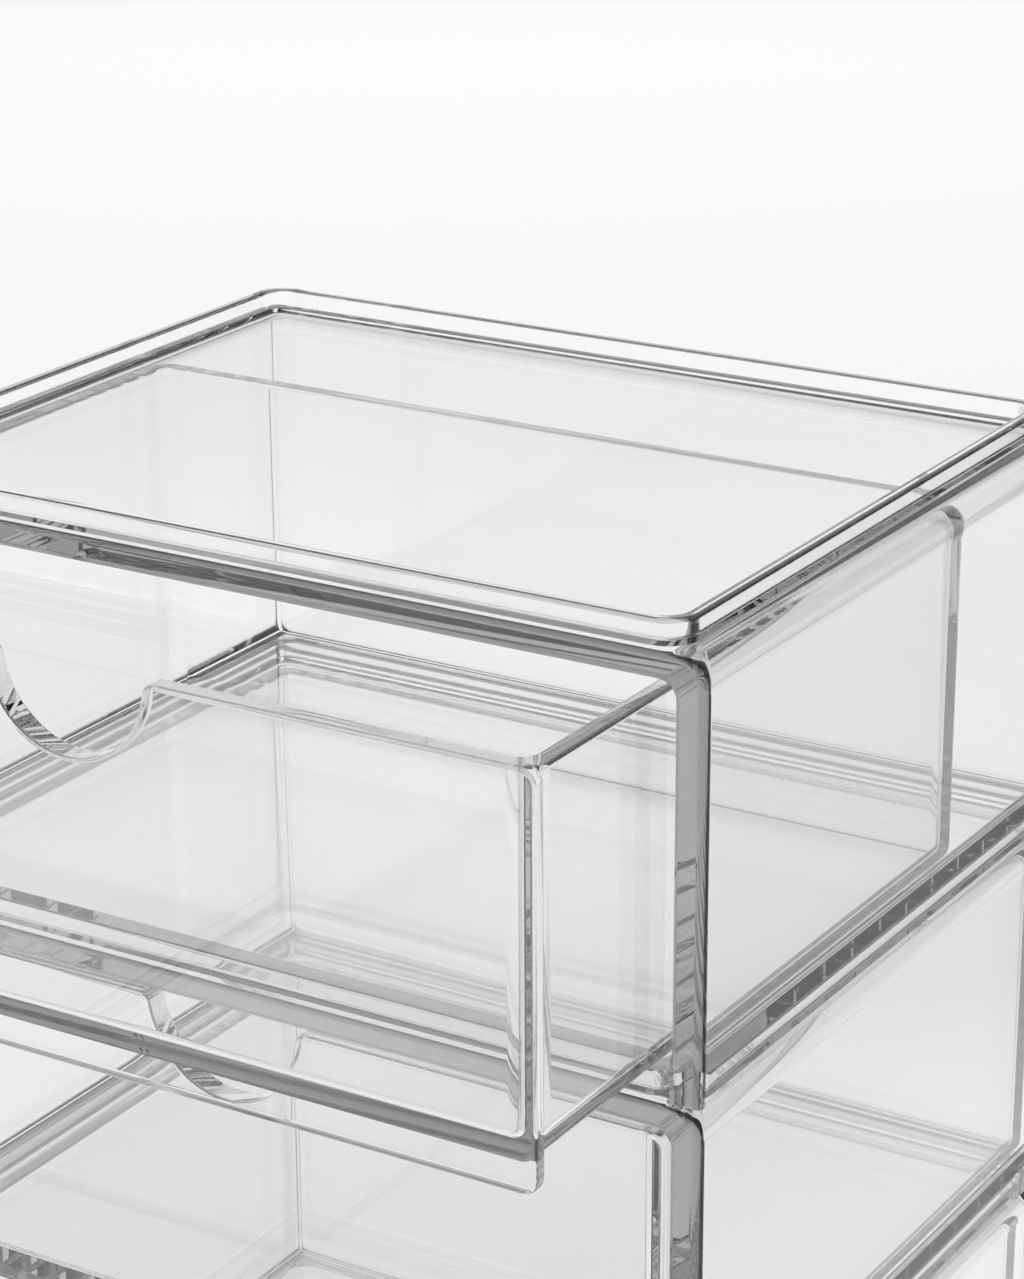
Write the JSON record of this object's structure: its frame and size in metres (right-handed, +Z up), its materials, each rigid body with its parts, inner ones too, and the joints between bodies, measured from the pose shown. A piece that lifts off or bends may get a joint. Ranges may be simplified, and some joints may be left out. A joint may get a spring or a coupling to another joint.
{
  "type": "stacking drawer organizer",
  "caption": "Stack of clear acrylic drawer units for make-up or jewellery: open-fronted cases with a stacking rim, each with a sliding drawer that has a round finger notch.",
  "frame": {"origin": "middle of the footprint on the table, with the top drawer pulled out as in the picture", "axes": "+X to the right seen from the front, +Y to the back, +Z up; the drawers open towards -Y"},
  "size_m": [0.214, 0.2182, 0.2749],
  "materials": {
    "case_acrylic": "clear, polished",
    "drawer_acrylic": "clear, polished",
    "soft_pad": "clear, soft"
  },
  "bodies": {
    "case_lower": {"case_lower": "case_acrylic", "pad_front_left": "soft_pad", "pad_front_right": "soft_pad", "pad_back_left": "soft_pad", "pad_back_right": "soft_pad"},
    "drawer_lower": {"drawer_lower": "drawer_acrylic"},
    "case_middle": {"case_middle": "case_acrylic"},
    "drawer_middle": {"drawer_middle": "drawer_acrylic"},
    "case_top": {"case_top": "case_acrylic"},
    "drawer_top": {"drawer_top": "drawer_acrylic"}
  },
  "joints": [
    {"name": "drawer_lower_slide", "type": "slide", "parent": "case_lower", "child": "drawer_lower", "axis": [0, -1, 0], "range_m": [0, 0.12]},
    {"name": "case_middle_lift", "type": "slide", "parent": "case_lower", "child": "case_middle", "axis": [0, 0, 1], "range_m": [0, 0.03]},
    {"name": "drawer_middle_slide", "type": "slide", "parent": "case_middle", "child": "drawer_middle", "axis": [0, -1, 0], "range_m": [0, 0.12]},
    {"name": "case_top_lift", "type": "slide", "parent": "case_middle", "child": "case_top", "axis": [0, 0, 1], "range_m": [0, 0.03]},
    {"name": "drawer_top_slide", "type": "slide", "parent": "case_top", "child": "drawer_top", "axis": [0, -1, 0], "range_m": [-0.046, 0.074]}
  ]
}
